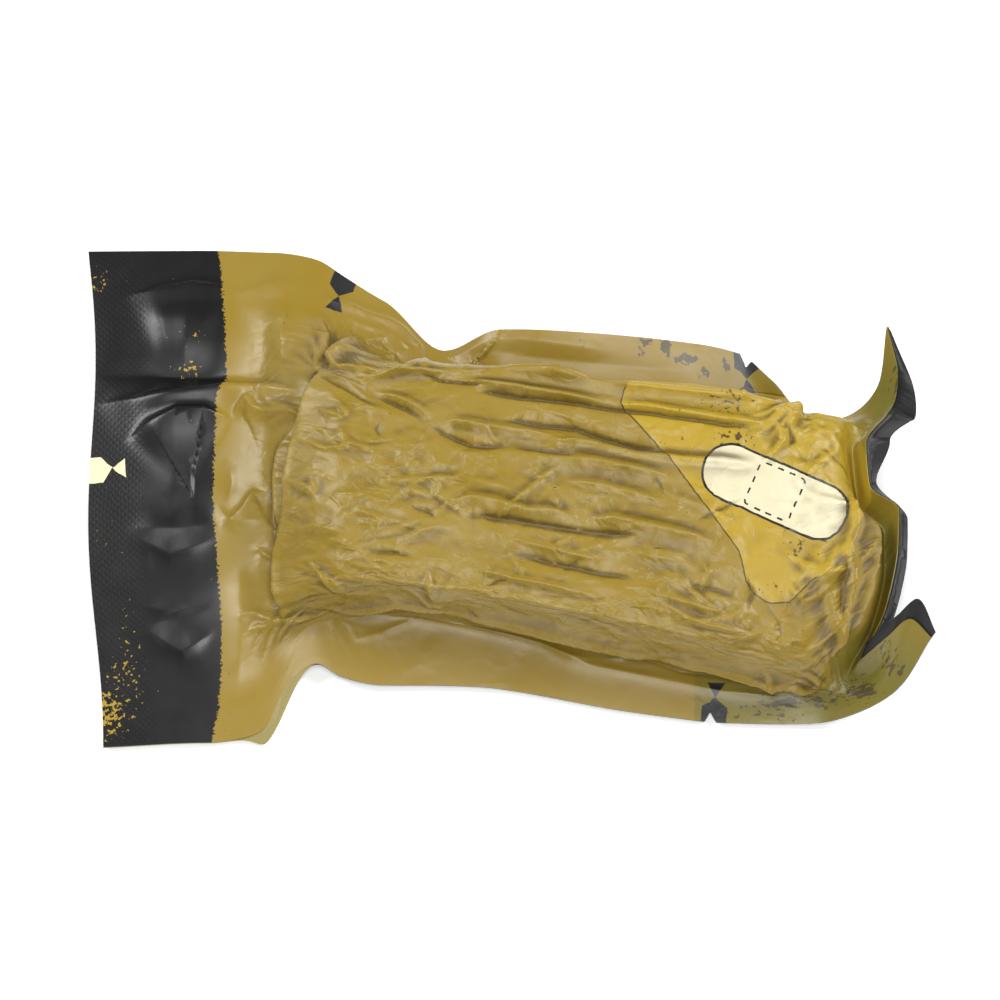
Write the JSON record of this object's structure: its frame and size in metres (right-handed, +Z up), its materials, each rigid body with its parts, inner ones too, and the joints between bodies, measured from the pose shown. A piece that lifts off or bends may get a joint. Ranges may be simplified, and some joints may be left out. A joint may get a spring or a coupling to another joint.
{
  "type": "vacuum-packed trauma bandage",
  "caption": "Folded trauma dressing shrunk by vacuum into a printed film pouch with a flat sealed end, side margins and a curled end.",
  "frame": {"origin": "bottom centre of the pouch as it lies on its back", "axes": "+X from the flat sealed end to the curled end, +Y towards the rear margin, +Z up"},
  "size_m": [0.249, 0.1552, 0.0461],
  "materials": {
    "front_film": "satin printed laminate film, ochre with a black band",
    "back_film": "satin printed laminate film, black and khaki",
    "dressing": "bleached cotton and elastic weave"
  },
  "bodies": {
    "root": {"front_film": "front_film", "back_film": "back_film", "folded_dressing": "dressing"}
  },
  "joints": []
}
